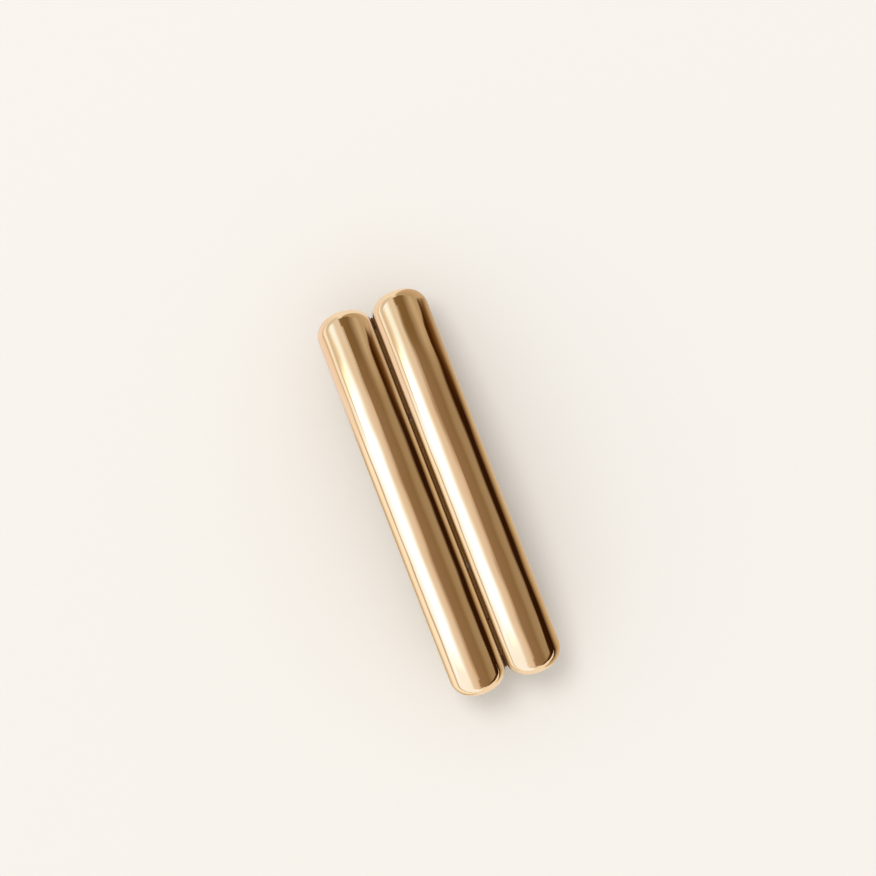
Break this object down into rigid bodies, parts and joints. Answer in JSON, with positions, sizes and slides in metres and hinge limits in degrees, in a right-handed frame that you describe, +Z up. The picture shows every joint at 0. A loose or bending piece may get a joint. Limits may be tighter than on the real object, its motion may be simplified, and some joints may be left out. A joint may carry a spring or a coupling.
{
  "type": "hair clip",
  "caption": "Gold-toned hair clip: polished arched tubes side by side on a curved plate, with a hinged lock arm, a leaf tension bow and a squeeze catch that clasp the hair.",
  "frame": {"origin": "middle of the clip's length and width, on the surface that the closed clip lies on with its tubes up", "axes": "+X along the clip from the hinge towards the catch, +Y across it towards the left tube, +Z up through the tubes"},
  "size_m": [0.0924, 0.0262, 0.0261],
  "materials": {
    "polished_gold": "brass, polished and gold-plated to a mirror shine",
    "gilt_solder": "solder beads, plated over with the tubes, satin",
    "plated_steel": "pressed steel sheet, barrel-polished and nickel-plated",
    "spring_steel": "rolled spring steel, nickel-plated, satin"
  },
  "bodies": {
    "arm": {"lock_arm": "plated_steel"},
    "ornament": {"left_tube": "polished_gold", "right_tube": "polished_gold", "left_cap_hinge_end": "polished_gold", "left_cap_catch_end": "polished_gold", "right_cap_hinge_end": "polished_gold", "right_cap_catch_end": "polished_gold", "base_plate": "plated_steel", "solder_beads": "gilt_solder", "hinge_pin": "plated_steel", "catch_base": "spring_steel", "catch_rivet": "plated_steel"},
    "bow": {"tension_bow": "spring_steel"},
    "tab_left": {"catch_tab_left": "spring_steel"},
    "tab_right": {"catch_tab_right": "spring_steel"}
  },
  "joints": [
    {"name": "clasp_hinge", "type": "hinge", "parent": "arm", "child": "ornament", "pos_m": [-0.0375, 0, 0.00149], "axis": [0, -1, 0], "range_deg": [0, 50]},
    {"name": "bow_flex", "type": "hinge", "parent": "ornament", "child": "bow", "pos_m": [-0.03108, 0, 0.00897], "axis": [0, -1, 0], "range_deg": [0, 1.9], "stiffness_Nm_per_rad": 0.05},
    {"name": "tab_left_squeeze", "type": "hinge", "parent": "ornament", "child": "tab_left", "pos_m": [0.03442, 0.0014, 0.00738], "axis": [0.9515, 0, -0.3077], "range_deg": [0, 5.5], "stiffness_Nm_per_rad": 0.1, "springref_deg": 5.5},
    {"name": "tab_right_squeeze", "type": "hinge", "parent": "ornament", "child": "tab_right", "pos_m": [0.03442, -0.0014, 0.00738], "axis": [-0.9515, 0, 0.3077], "range_deg": [0, 5.5], "stiffness_Nm_per_rad": 0.1, "springref_deg": 5.5}
  ]
}
